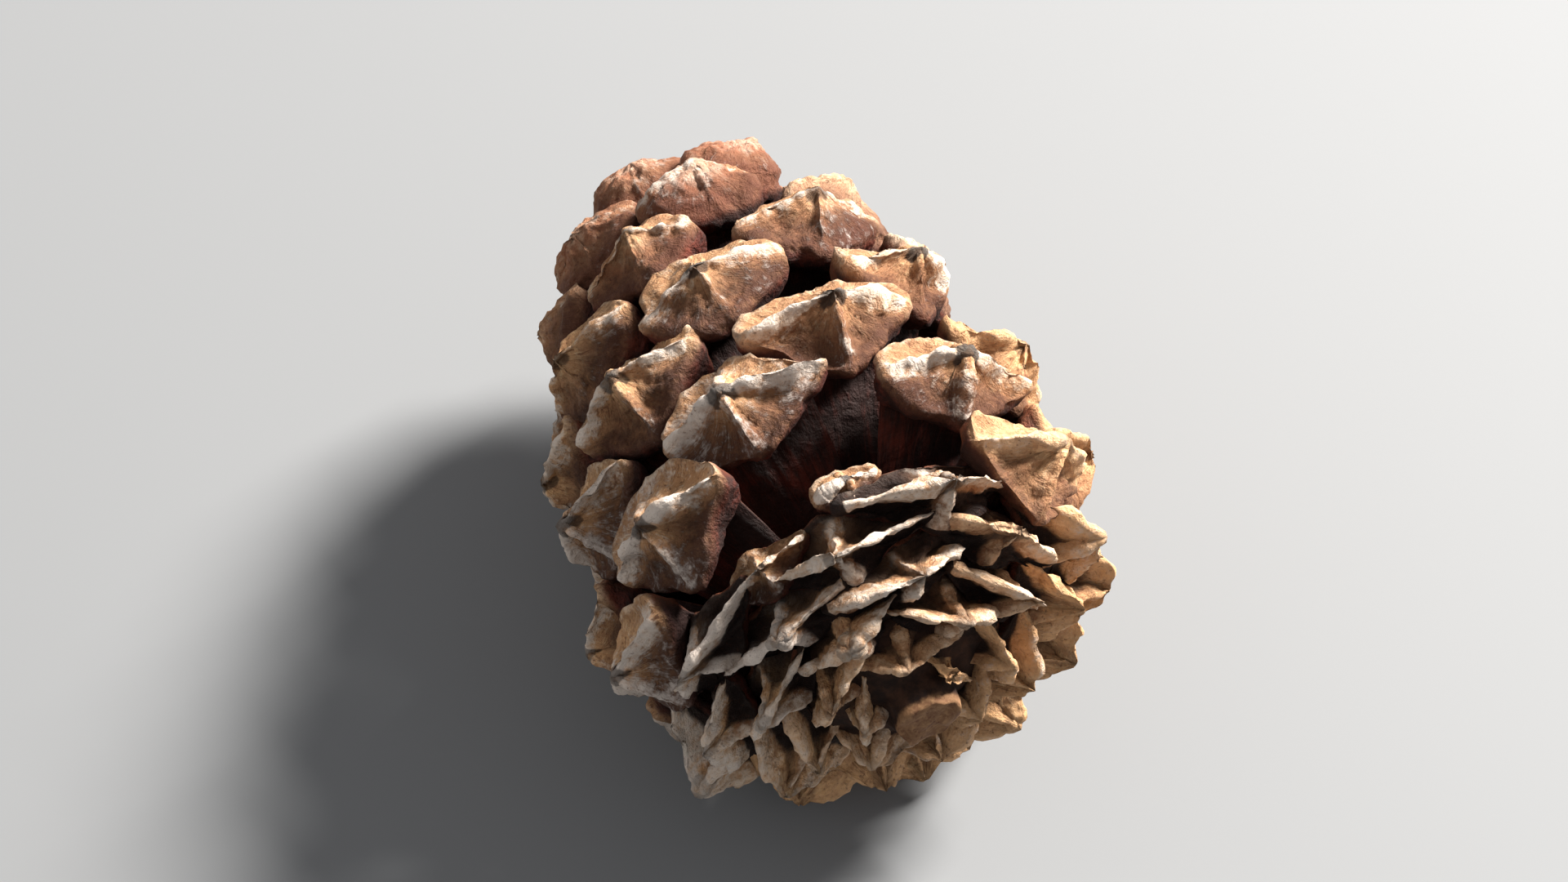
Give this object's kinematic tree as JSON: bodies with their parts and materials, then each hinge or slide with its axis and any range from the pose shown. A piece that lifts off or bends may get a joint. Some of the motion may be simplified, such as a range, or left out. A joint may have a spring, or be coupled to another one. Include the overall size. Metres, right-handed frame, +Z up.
{
  "type": "pine cone",
  "caption": "Open pine cone lying on its side: a woody axis with spirally set seed scales, tight round the stem end and open towards the tip.",
  "frame": {"origin": "on the surface that the cone lies on, under the centre of its bounding box", "axes": "+Z up from the surface, +Y along the cone towards its tip, +X across it"},
  "size_m": [0.0504, 0.0672, 0.0474],
  "materials": {
    "pine_scale": "dry weathered woody scales, pale on worn ridges and dark brown inside"
  },
  "bodies": {
    "root": {"pine_cone": "pine_scale"}
  },
  "joints": []
}
